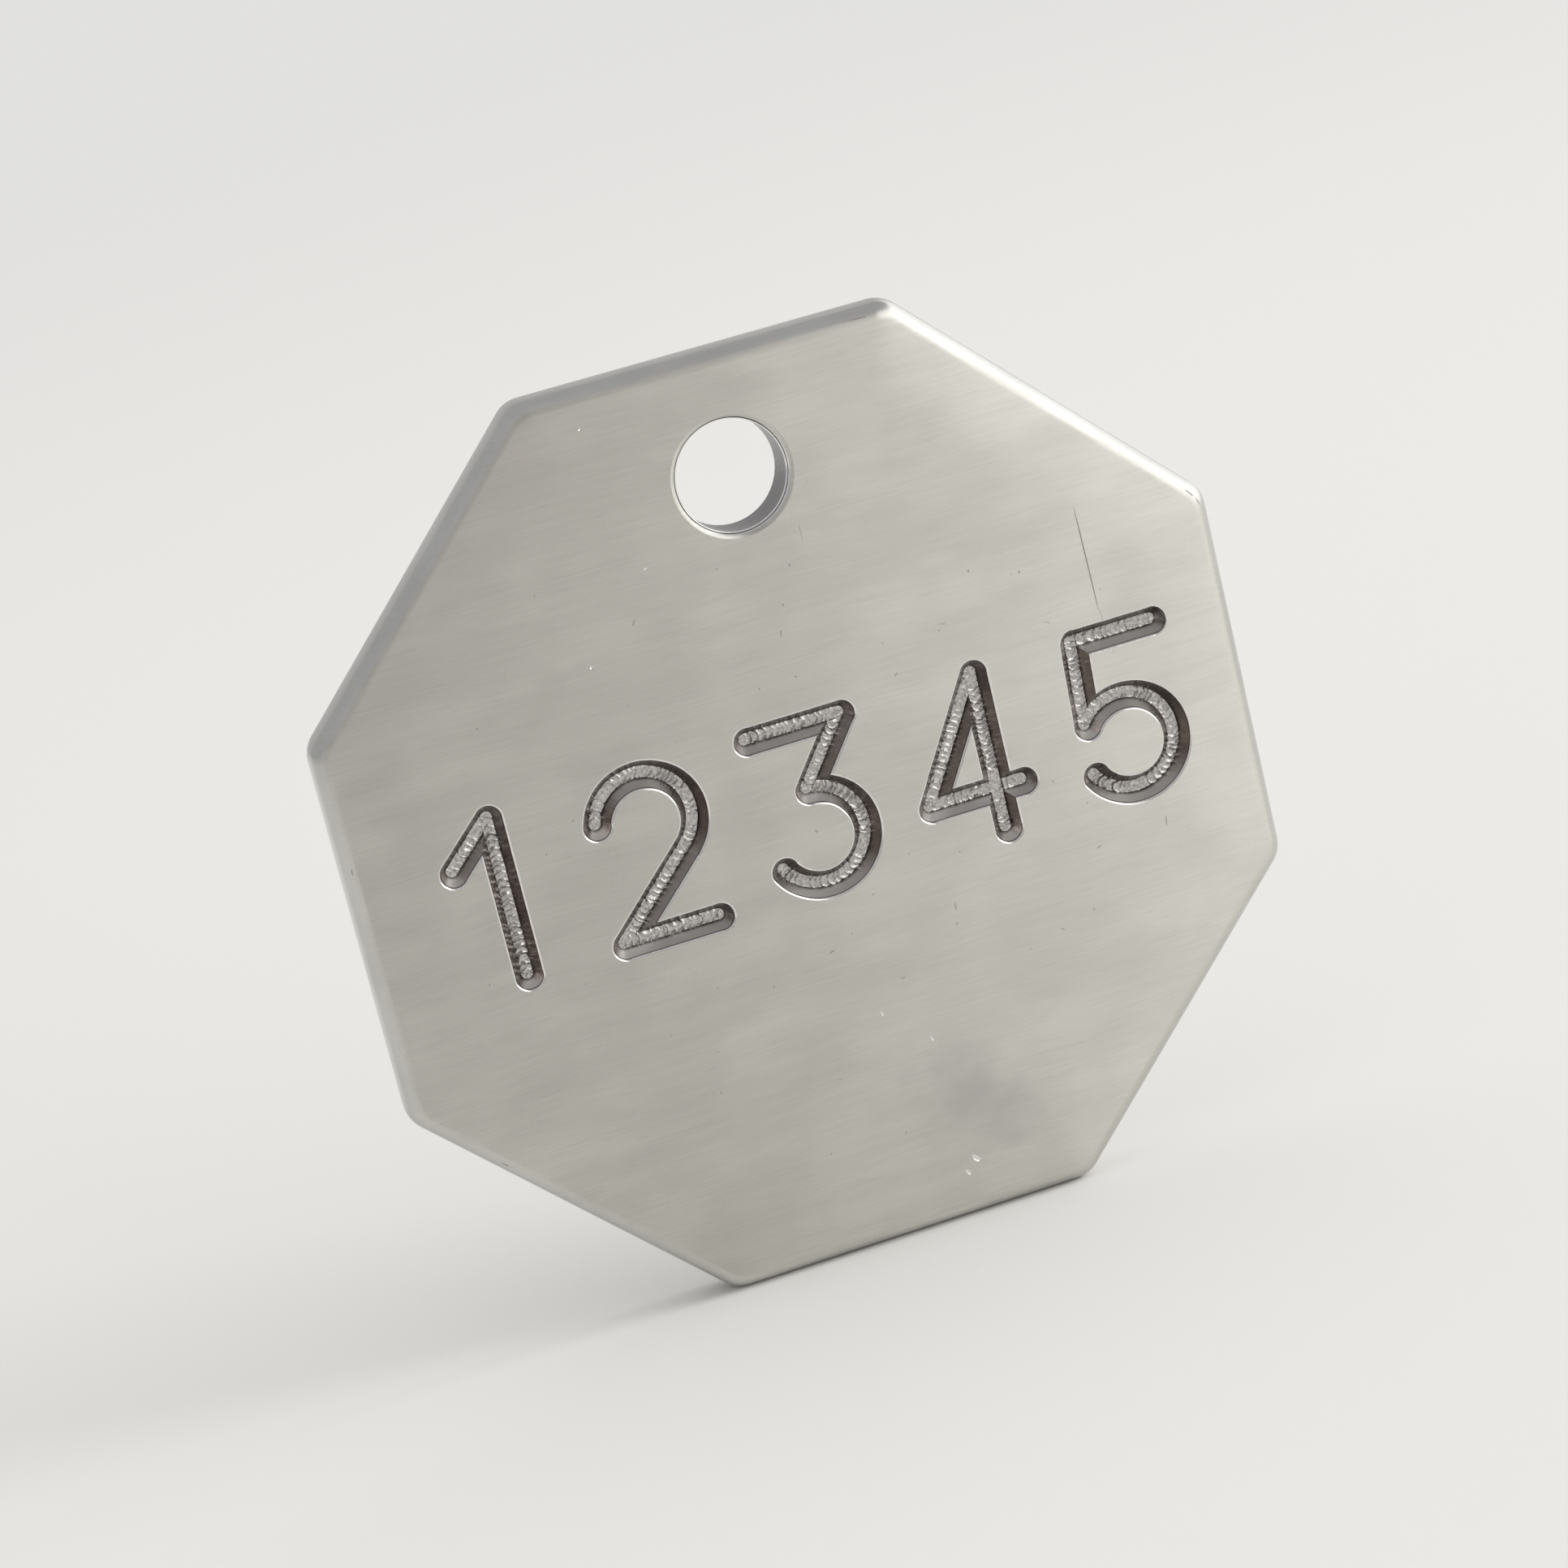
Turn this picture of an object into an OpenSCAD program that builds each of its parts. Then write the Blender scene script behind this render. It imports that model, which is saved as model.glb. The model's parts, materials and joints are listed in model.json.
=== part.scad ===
// Pet identity tag: an octagonal plate of stainless steel, drilled for a
// split ring and engraved with plain numerals.
// All lengths are millimetres. Z points up, the engraved face looks along -Y,
// and the origin is the middle of the ring hole.

/* [Plate] */
// Distance across opposite flats of the octagon
across_flats = 32; // [26:0.5:45]
// Thickness of the plate
plate_t = 2; // [1.5:0.1:4]
// How far each of the eight sharp tips is turned back
tip_trim = 0.15; // [0.05:0.05:0.5]
// Radius of the rounded rim on both faces
rim_r = 0.6; // [0.2:0.05:0.7]

/* [Ring hole] */
// Diameter of the hole for the split ring
hole_d = 3.8; // [3:0.1:5]
// Distance from the top flat to the middle of the hole
hole_drop = 4.3; // [3.6:0.1:6]
// Radius of the broken edge at both mouths of the hole
mouth_r = 0.25; // [0.1:0.05:0.4]

/* [Engraving] */
// Height of a numeral, over its grooves
numeral_h = 6.6; // [5:0.2:8]
// Distance from one numeral's middle to the next one's
numeral_pitch = 5.7; // [5:0.1:6]
// Height of the numerals' middle over the plate's middle
numeral_rise = 0; // [-3:0.1:3]
// Width of a groove at the face
groove_w = 1; // [0.6:0.05:1.2]
// Width of a groove's flat floor
floor_w = 0.4; // [0.2:0.05:0.5]
// Depth of a groove
groove_depth = 0.5; // [0.2:0.05:1]
// How much further out the cutter bites where it stops and turns
dwell = 0.01; // [0.005:0.005:0.03]

/* [Hidden] */
$fn = 64;

// How far a cutter runs past the surface that it cuts
overrun = 0.5;

SIDES = 8;
SIDE_ANGLE = 360 / SIDES;
half_t = plate_t / 2;
inradius = across_flats / 2;
plate_z = hole_drop - inradius;
tip_reach = inradius / cos(SIDE_ANGLE / 2) - tip_trim;
hole_r = hole_d / 2;
// Half the width that a groove's wall leans out over each unit of depth
lean_share = (groove_w - floor_w) / 2 / groove_depth;

// Height of a numeral along the middle of its grooves
stroke_h = numeral_h - groove_w;

// A numeral is one run of the cutter, a list of strokes that follow each other.
// A stroke is ["line", from, to] or ["arc", centre, radius, first angle, turn].
// Places are shares of stroke_h, from the foot of the numeral's middle line.
half_share = 0.3;
// The bowl of the 2 runs on into a straight leg that touches it
leg_reach_share = norm([half_share, 1 - half_share]);
leg_l_share = sqrt(pow(leg_reach_share, 2) - pow(half_share, 2));
leg_angle = atan2(1 - half_share, half_share) - asin(half_share / leg_reach_share);
leg_top_share = leg_l_share * [cos(leg_angle), sin(leg_angle)] - [half_share, 0];
// Bowl of the 3 and of the 5, and the angle at which the back of the 5 meets it
bowl_share = 0.3;
five_angle = 145;
five_join_share = bowl_share * [cos(five_angle), sin(five_angle) + 1];
five_back_share = -0.22;
four_foot_share = 0.26;
four_stem_share = 0.14;

ONE = [
    ["line", [-0.18, 0.74], [0.1, 1]],
    ["line", [0.1, 1], [0.1, 0]]
];
TWO = [
    ["line", [half_share, 0], [-half_share, 0]],
    ["line", [-half_share, 0], leg_top_share],
    ["arc", [0, 1 - half_share], half_share, leg_angle - 90, 258 - leg_angle]
];
THREE = [
    ["arc", [0, bowl_share], bowl_share, -150, 240],
    ["line", [0, 2 * bowl_share], [half_share, 1]],
    ["line", [half_share, 1], [-half_share, 1]]
];
FOUR = [
    ["line", [four_stem_share, 0], [four_stem_share, 1]],
    ["line", [four_stem_share, 1], [-half_share, four_foot_share]],
    ["line", [-half_share, four_foot_share], [half_share, four_foot_share]]
];
FIVE = [
    ["arc", [0, bowl_share], bowl_share, -150, five_angle + 150],
    ["line", five_join_share, [five_back_share, 1]],
    ["line", [five_back_share, 1], [half_share, 1]]
];
NUMERALS = [ONE, TWO, THREE, FOUR, FIVE];

// Half of the plate's section: a flat plate out to a wall with both edges rounded
module rim_section(reach) {
    flat_w = reach - rim_r;
    wall_h = plate_t - 2 * rim_r;
    translate([0, -half_t])
        square([flat_w, plate_t]);
    translate([0, -wall_h / 2])
        square([reach, wall_h]);
    for (side = [-1, 1])
        translate([flat_w, side * wall_h / 2])
            circle(rim_r);
}

// A bar that holds two opposite sides of the octagon and runs out past its tips
module side_pair() {
    bar_l = 2 * across_flats;
    translate([0, bar_l / 2, 0])
        rotate([90, 0, 0])
            linear_extrude(bar_l) {
                rim_section(inradius);
                mirror([1, 0])
                    rim_section(inradius);
            }
}

// The plate before drilling, flat, with its engraved face up. A turned disc
// takes back the tips where the four pairs of sides meet.
module blank() {
    intersection() {
        side_pair();
        rotate(SIDE_ANGLE)
            side_pair();
        rotate(2 * SIDE_ANGLE)
            side_pair();
        rotate(3 * SIDE_ANGLE)
            side_pair();
        rotate_extrude()
            rim_section(tip_reach);
    }
}

// Cutter for the ring hole, with the broken edge at both mouths
module hole_cutter() {
    mouth_h = half_t - mouth_r;
    rotate_extrude()
        difference() {
            translate([0, -half_t - overrun])
                square([hole_r + mouth_r, plate_t + 2 * overrun]);
            translate([hole_r, -mouth_h])
                square([mouth_r, 2 * mouth_h]);
            for (side = [-1, 1])
                translate([hole_r + mouth_r, side * mouth_h])
                    circle(mouth_r);
        }
}

// Right half of a groove's section, from its floor at the origin up past the face
module groove_half_section(extra = 0) {
    top = groove_depth + overrun;
    polygon([
        [0, 0],
        [floor_w / 2 + extra, 0],
        [floor_w / 2 + extra + lean_share * top, top],
        [0, top]
    ]);
}

module groove_section() {
    groove_half_section();
    mirror([1, 0])
        groove_half_section();
}

// Round mark of the cutter where it plunges, turns or lifts
module cutter_mark(place) {
    translate(place)
        rotate_extrude()
            groove_half_section(dwell);
}

module line_groove(from, to) {
    run = to - from;
    translate(from)
        rotate(atan2(run[1], run[0]))
            rotate([90, 0, 90])
                linear_extrude(norm(run))
                    groove_section();
}

module arc_groove(centre, radius, first, turn) {
    translate(centre)
        rotate(first)
            rotate_extrude(angle = turn)
                translate([radius, 0])
                    groove_section();
}

// Where a stroke ends, in shares of stroke_h: its start with at = 0, its end with at = 1
function stroke_end_share(stroke, at) =
    stroke[0] == "line"
        ? stroke[1 + at]
        : let (angle = stroke[3] + at * stroke[4])
            stroke[1] + stroke[2] * [cos(angle), sin(angle)];

module groove(stroke) {
    if (stroke[0] == "line")
        line_groove(stroke[1] * stroke_h, stroke[2] * stroke_h);
    else
        arc_groove(stroke[1] * stroke_h, stroke[2] * stroke_h, stroke[3], stroke[4]);
}

module numeral(strokes) {
    for (stroke = strokes) {
        groove(stroke);
        cutter_mark(stroke_end_share(stroke, 0) * stroke_h);
    }
    cutter_mark(stroke_end_share(strokes[len(strokes) - 1], 1) * stroke_h);
}

// Cutter for all the numerals, at the face of the flat plate
module numeral_cutter() {
    last = len(NUMERALS) - 1;
    for (i = [0:last])
        translate([
            (i - last / 2) * numeral_pitch,
            numeral_rise - stroke_h / 2,
            half_t - groove_depth
        ])
            numeral(NUMERALS[i]);
}

module tag_plate() {
    color([0.72, 0.71, 0.68])
        translate([0, 0, plate_z])
            rotate([90, 0, 0])
                difference() {
                    blank();
                    translate([0, -plate_z])
                        hole_cutter();
                    numeral_cutter();
                }
}

tag_plate();
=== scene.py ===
"""Looks of an octagonal identity tag of stainless steel.

The tag is one plate: cut to an octagon, tumbled round at its edges, brushed,
drilled for a ring and milled with plain numerals. It is built lying flat on a
bench, in millimetres, with its engraved face up and its middle at the origin.
The finished plate is then stood up in the model's frame, in metres.
"""
import json
import logging
import math
import random
from dataclasses import dataclass
from enum import Enum
from functools import partial, reduce

import bmesh
import bpy
import numpy as np
from bpy.types import ID, Material, Mesh, Node, NodeInputs, NodeOutputs, NodeSocket, NodeTree, Object
from mathutils import Matrix, Vector


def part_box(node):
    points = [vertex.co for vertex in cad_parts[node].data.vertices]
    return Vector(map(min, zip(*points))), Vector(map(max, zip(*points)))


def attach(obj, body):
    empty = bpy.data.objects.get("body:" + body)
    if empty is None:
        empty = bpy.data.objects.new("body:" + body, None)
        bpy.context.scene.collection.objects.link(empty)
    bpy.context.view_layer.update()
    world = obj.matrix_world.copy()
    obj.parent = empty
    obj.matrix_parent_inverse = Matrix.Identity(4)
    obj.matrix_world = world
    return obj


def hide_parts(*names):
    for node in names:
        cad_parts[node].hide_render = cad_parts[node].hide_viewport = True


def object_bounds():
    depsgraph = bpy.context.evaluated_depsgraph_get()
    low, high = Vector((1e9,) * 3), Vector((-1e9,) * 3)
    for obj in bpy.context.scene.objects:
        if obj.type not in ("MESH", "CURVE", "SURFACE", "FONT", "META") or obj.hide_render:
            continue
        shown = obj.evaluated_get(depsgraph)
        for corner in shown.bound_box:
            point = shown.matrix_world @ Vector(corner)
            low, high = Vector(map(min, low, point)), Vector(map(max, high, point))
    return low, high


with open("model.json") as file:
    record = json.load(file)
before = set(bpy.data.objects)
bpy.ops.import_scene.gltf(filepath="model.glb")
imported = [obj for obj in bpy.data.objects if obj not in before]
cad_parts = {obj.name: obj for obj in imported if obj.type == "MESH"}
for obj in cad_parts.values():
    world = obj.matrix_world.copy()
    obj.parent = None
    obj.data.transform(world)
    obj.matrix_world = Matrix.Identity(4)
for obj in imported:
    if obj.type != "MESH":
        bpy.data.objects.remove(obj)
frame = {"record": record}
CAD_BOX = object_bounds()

log = logging.getLogger("id_tag")

MM = 0.001
NODE = "tag_plate"
BRUSH_MAP = "brush_grain"
# Slack for comparing depths, in millimetres
SLACK = 0.001
# Grains in a millimetre of a milled floor
FLOOR_GRAINS = 14.0

Point = tuple[float, float]
Triple = tuple[float, float, float]
Colour = Triple


class Socket(Enum):
    """Kinds of socket on the trees and groups that this script builds."""

    GEOMETRY = "NodeSocketGeometry"
    OBJECT = "NodeSocketObject"
    MATERIAL = "NodeSocketMaterial"
    FLOAT = "NodeSocketFloat"
    INT = "NodeSocketInt"
    VECTOR = "NodeSocketVector"


def opaque(colour: object) -> object:
    """Returns a colour with full alpha. A socket stays as it is."""
    return (*colour, 1.0) if isinstance(colour, tuple) else colour


def dimmed(colour: Colour, share: float) -> Colour:
    """Returns a colour at a share of its brightness."""
    return tuple(share * part for part in colour)


class Nodes:
    """Adds nodes to a tree. An input that is given a socket is linked, any other is set."""

    def __init__(self, tree: NodeTree) -> None:
        """Takes the tree that the nodes go into."""
        self.tree = tree

    def feed(self, socket: NodeSocket, value: object) -> None:
        """Links or sets one input.

        Args:
            socket: The input.
            value: An output to link, or a value to set.
        """
        if isinstance(value, NodeSocket):
            self.tree.links.new(value, socket)
        else:
            socket.default_value = value

    def add(self, kind: str, inputs: dict | None = None, **settings: object) -> Node:
        """Adds one node.

        Args:
            kind: The node's type.
            inputs: What each input is given, by its name or number.
            settings: Properties of the node.

        Returns:
            The node.
        """
        node = self.tree.nodes.new(kind)
        for name, value in settings.items():
            setattr(node, name, value)
        for key, value in (inputs or {}).items():
            self.feed(node.inputs[key], value)
        return node

    def made(self, kind: str, inputs: dict | None = None, **settings: object) -> NodeSocket:
        """Adds one node and returns its first output."""
        return self.add(kind, inputs, **settings).outputs[0]

    def math(self, operation: str, *values: object) -> NodeSocket:
        """Adds a Math node and returns its output."""
        return self.made("ShaderNodeMath", dict(enumerate(values)), operation=operation)

    def plus(self, *values: object) -> NodeSocket:
        """Returns the sum of numbers."""
        return reduce(partial(self.math, "ADD"), values)

    def times(self, *values: object) -> NodeSocket:
        """Returns the product of numbers."""
        return reduce(partial(self.math, "MULTIPLY"), values)

    def most(self, *values: object) -> NodeSocket:
        """Returns the greatest of some numbers."""
        return reduce(partial(self.math, "MAXIMUM"), values)

    def minus(self, first: object, second: object) -> NodeSocket:
        """Returns one number less another."""
        return self.math("SUBTRACT", first, second)

    def over(self, first: object, second: object) -> NodeSocket:
        """Returns one number divided by another."""
        return self.math("DIVIDE", first, second)

    def vector_math(self, operation: str, *values: object) -> Node:
        """Adds a Vector Math node."""
        return self.add("ShaderNodeVectorMath", dict(enumerate(values)), operation=operation)

    def vector(self, operation: str, *values: object) -> NodeSocket:
        """Returns the vector that a Vector Math node gives."""
        return self.vector_math(operation, *values).outputs["Vector"]

    def measure(self, operation: str, *values: object) -> NodeSocket:
        """Returns the number that a Vector Math node gives."""
        return self.vector_math(operation, *values).outputs["Value"]

    def scaled(self, vector: NodeSocket, factor: object) -> NodeSocket:
        """Returns a vector times a number."""
        return self.made("ShaderNodeVectorMath", {"Vector": vector, "Scale": factor}, operation="SCALE")

    def turned(self, vector: NodeSocket, angle: float) -> NodeSocket:
        """Returns a vector turned about Y, by an angle in radians."""
        given = {"Vector": vector, "Angle": angle}
        return self.made("ShaderNodeVectorRotate", given, rotation_type="Y_AXIS")

    def combined(self, x: object = 0.0, y: object = 0.0, z: object = 0.0) -> NodeSocket:
        """Returns a vector made of three numbers."""
        return self.made("ShaderNodeCombineXYZ", {0: x, 1: y, 2: z})

    def split(self, vector: NodeSocket) -> NodeOutputs:
        """Returns the X, Y and Z of a vector."""
        return self.add("ShaderNodeSeparateXYZ", {0: vector}).outputs

    def ramped(self, value: object, low: float, high: float) -> NodeSocket:
        """Returns a smooth ramp from 0 to 1 as the value goes from low to high."""
        given = {"Value": value, "From Min": low, "From Max": high}
        return self.made("ShaderNodeMapRange", given, interpolation_type="SMOOTHSTEP")

    def mixed(self, factor: object, first: object, second: object) -> NodeSocket:
        """Returns a number between two, by a factor from 0 to 1."""
        return self.made("ShaderNodeMix", {0: factor, 2: first, 3: second})

    def blended(self, factor: object, first: object, second: object) -> NodeSocket:
        """Returns a colour between two, by a factor from 0 to 1."""
        given = {0: factor, 6: opaque(first), 7: opaque(second)}
        return self.add("ShaderNodeMix", given, data_type="RGBA").outputs[2]

    def noise(self, vector: object, detail: float = 2.0, roughness: float = 0.5) -> NodeSocket:
        """Returns a noise of grain 1 over a vector, about 0.5 on average."""
        given = {"Vector": vector, "Scale": 1.0, "Detail": detail, "Roughness": roughness}
        return self.made("ShaderNodeTexNoise", given)

    def chance(self, low: object, high: object, seed: object) -> NodeSocket:
        """Returns a random number for each point."""
        return self.add("FunctionNodeRandomValue", {2: low, 3: high, 8: seed}, data_type="FLOAT").outputs[1]

    def position(self) -> NodeSocket:
        """Returns the place of each point of a geometry."""
        return self.made("GeometryNodeInputPosition")

    def shape(self, source: NodeSocket) -> NodeSocket:
        """Returns the geometry of an object."""
        return self.add("GeometryNodeObjectInfo", {"Object": source}).outputs["Geometry"]

    def capture(self, geometry: NodeSocket, fields: dict[str, tuple[str, object]]) -> NodeOutputs:
        """Keeps fields with a geometry, for use after it changes.

        Args:
            geometry: The geometry.
            fields: Data type and field, by name.

        Returns:
            The geometry, and the fields by their names.
        """
        node = self.add("GeometryNodeCaptureAttribute", {0: geometry})
        for name, (kind, value) in fields.items():
            node.capture_items.new(kind, name)
            self.feed(node.inputs[name], value)
        return node.outputs


def new_group(
    name: str, kind: str, inputs: dict[Socket, list[str]], outputs: dict[Socket, list[str]]
) -> tuple[Nodes, NodeOutputs, NodeInputs]:
    """Starts a node group with named inputs and outputs.

    Args:
        name: The group's name.
        kind: GeometryNodeTree or ShaderNodeTree.
        inputs: Names of the inputs of each kind.
        outputs: Names of the outputs of each kind.

    Returns:
        The nodes, what the group is given, and what it has to give, by name.
    """
    tree = bpy.data.node_groups.new(name, kind)
    for in_out, sockets in (("INPUT", inputs), ("OUTPUT", outputs)):
        for socket, labels in sockets.items():
            for label in labels:
                tree.interface.new_socket(label, in_out=in_out, socket_type=socket.value)
    nodes = Nodes(tree)
    return nodes, nodes.add("NodeGroupInput").outputs, nodes.add("NodeGroupOutput").inputs


def finish_tree(
    nodes: Nodes, result: NodeInputs, geometry: NodeSocket, coats: list[tuple]
) -> NodeTree:
    """Ends a geometry tree: copies are made real and the faces get their materials.

    Args:
        nodes: The tree's nodes.
        result: What the tree has to give.
        geometry: What the tree has made.
        coats: Material of each coat and the faces that it covers, None for all.

    Returns:
        The tree.
    """
    last = nodes.made("GeometryNodeRealizeInstances", {0: geometry})
    for material, faces in coats:
        given = {"Geometry": last, "Material": material}
        if faces is not None:
            given["Selection"] = faces
        last = nodes.made("GeometryNodeSetMaterial", given)
    nodes.feed(result[0], last)
    return nodes.tree


def evaluated(made: Object) -> Mesh:
    """Returns an object as its modifiers leave it, as a plain mesh."""
    graph = bpy.context.evaluated_depsgraph_get()
    return bpy.data.meshes.new_from_object(made.evaluated_get(graph))


def grow(tree: NodeTree, base: Object, values: dict[str, object]) -> Mesh:
    """Runs a geometry tree on an object.

    Args:
        tree: The tree.
        base: The object that the tree starts from. It is removed.
        values: The tree's inputs, by name.

    Returns:
        What the tree made, as a plain mesh with its faces turned outwards.
    """
    modifier = base.modifiers.new(tree.name, "NODES")
    modifier.node_group = tree
    for item in tree.interface.items_tree:
        if item.in_out == "INPUT" and item.name in values:
            modifier[item.identifier] = values[item.name]
    mesh = evaluated(base)
    bpy.data.objects.remove(base)
    work = bmesh.new()
    work.from_mesh(mesh)
    bmesh.ops.recalc_face_normals(work, faces=work.faces)
    work.to_mesh(mesh)
    work.free()
    return mesh


def on_bench(name: str, data: ID) -> Object:
    """Puts data on the bench.

    Args:
        name: The object's name.
        data: A mesh, a curve, a light or a camera.

    Returns:
        The object, in the scene.
    """
    made = bpy.data.objects.new(name, data)
    bpy.context.scene.collection.objects.link(made)
    return made


def polyline(name: str, points: list[Point], closed: bool = False) -> Object:
    """Makes a flat curve through points.

    Args:
        name: The curve's name.
        points: The points that it goes through.
        closed: Whether it runs back to its start.

    Returns:
        The curve, on the bench.
    """
    curve = bpy.data.curves.new(name, "CURVE")
    curve.dimensions = "3D"
    spline = curve.splines.new("POLY")
    spline.points.add(len(points) - 1)
    for place, (x, y) in zip(spline.points, points):
        place.co = (x, y, 0.0, 1.0)
    spline.use_cyclic_u = closed
    return on_bench(name, curve)


def mesh_of(work: bmesh.types.BMesh, name: str) -> Mesh:
    """Ends work on a mesh.

    Args:
        work: The work. It is freed.
        name: The mesh's name.

    Returns:
        The mesh.
    """
    mesh = bpy.data.meshes.new(name)
    work.to_mesh(mesh)
    work.free()
    return mesh


def lathe(name: str, section: list[Point], steps: int, material: Material) -> Mesh:
    """Turns a section about the upright axis.

    Args:
        name: The mesh's name.
        section: Radius and height of each point, from the axis to the axis.
        steps: Faces round the axis.
        material: The material of all faces.

    Returns:
        A closed mesh.
    """
    work = bmesh.new()
    rings = []
    for radius, height in section:
        turns = steps if radius > 0.0 else 1
        angles = (math.tau * i / turns for i in range(turns))
        rings.append([work.verts.new((radius * math.cos(a), radius * math.sin(a), height)) for a in angles])
    for low, high in zip(rings, rings[1:]):
        for i in range(steps):
            corners = [low[i % len(low)], low[(i + 1) % steps % len(low)]]
            corners += [high[(i + 1) % steps % len(high)], high[i % len(high)]]
            work.faces.new(list(dict.fromkeys(corners)))
    bmesh.ops.recalc_face_normals(work, faces=work.faces)
    mesh = mesh_of(work, name)
    mesh.materials.append(material)
    return mesh


def arc_points(centre: Point, radius: float, first: float, turn: float, steps: int) -> list[Point]:
    """Returns points along an arc, from its first angle through its turn, in degrees."""
    angles = [math.radians(first + turn * i / steps) for i in range(steps + 1)]
    return [(centre[0] + radius * math.cos(a), centre[1] + radius * math.sin(a)) for a in angles]


@dataclass(frozen=True)
class BrokenEdge:
    """The rounding between a wall and the face, which ends at a slight angle to the face."""

    radius: float
    graze: float = 11.0
    steps: int = 6
    clear: float = 0.02

    def points(self, wall_angle: float) -> list[Point]:
        """Gives the rounding as points.

        Args:
            wall_angle: Angle between the wall and the face, in degrees.

        Returns:
            Outset and rise of each point from the sharp edge, from the wall up past the face.
        """
        wall, graze = math.radians(wall_angle), math.radians(self.graze)
        rise = self.radius * (math.cos(wall) - math.cos(graze))
        out = rise / math.tan(wall)
        rounding = []
        for i in range(self.steps + 1):
            angle = wall + (graze - wall) * i / self.steps
            across = out + self.radius * (math.sin(wall) - math.sin(angle))
            rounding.append((across, rise + self.radius * (math.cos(angle) - math.cos(wall))))
        last_out, last_rise = rounding[-1]
        return [*rounding, (last_out + self.clear / math.tan(graze), last_rise + self.clear)]


def blank_tree() -> NodeTree:
    """Builds the tree that stacks outlines of the plate along its edge's section.

    Returns:
        A tree that takes the section as a curve, with the inset from the side
        as X and the height as Y.
    """
    nodes, given, result = new_group(
        "Plate Blank",
        "GeometryNodeTree",
        {
            Socket.GEOMETRY: ["Section"],
            Socket.FLOAT: ["Inradius", "Corner Radius", "Rim Reach"],
            Socket.INT: ["Sides", "Corner Steps"],
            Socket.MATERIAL: ["Face", "Rim"],
        },
        {Socket.GEOMETRY: ["Blank"]},
    )
    half_side = nodes.over(math.pi, given["Sides"])
    tip_reach = nodes.over(given["Inradius"], nodes.math("COSINE", half_side))
    polygon = nodes.made(
        "GeometryNodeCurvePrimitiveCircle", {"Resolution": given["Sides"], "Radius": tip_reach}
    )
    turned = nodes.made(
        "GeometryNodeTransform", {"Geometry": polygon, "Rotation": nodes.combined(z=half_side)}
    )
    outline = nodes.made(
        "GeometryNodeFilletCurve",
        {"Curve": turned, "Count": given["Corner Steps"], "Radius": given["Corner Radius"]},
        mode="POLY",
    )
    place = nodes.split(nodes.position())
    reach = nodes.minus(1.0, nodes.over(place["X"], given["Inradius"]))
    kept = nodes.capture(given["Section"], {"Reach": ("FLOAT", reach), "Inset": ("FLOAT", place["X"])})
    upright = nodes.made(
        "GeometryNodeSetPosition", {"Geometry": kept[0], "Position": nodes.combined(z=place["Y"])}
    )
    stack = nodes.made(
        "GeometryNodeCurveToMesh",
        {"Curve": upright, "Profile Curve": outline, "Scale": kept["Reach"], "Fill Caps": True},
    )
    on_rim = nodes.math("LESS_THAN", kept["Inset"], given["Rim Reach"])
    return finish_tree(nodes, result, stack, [(given["Face"], None), (given["Rim"], on_rim)])


def cut_coats(given: NodeOutputs, on_floor: object, on_lip: object) -> list[tuple]:
    """Returns the coats of a milled cut, by the faces of its floor and of its lip."""
    return [(given["Wall"], None), (given["Floor"], on_floor), (given["Lip"], on_lip)]


def floor_grain(nodes: Nodes) -> NodeSocket:
    """Returns the fine unevenness of a milled floor, about 0 on average."""
    return nodes.minus(nodes.noise(nodes.scaled(nodes.position(), FLOOR_GRAINS), 2.0), 0.5)


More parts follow.
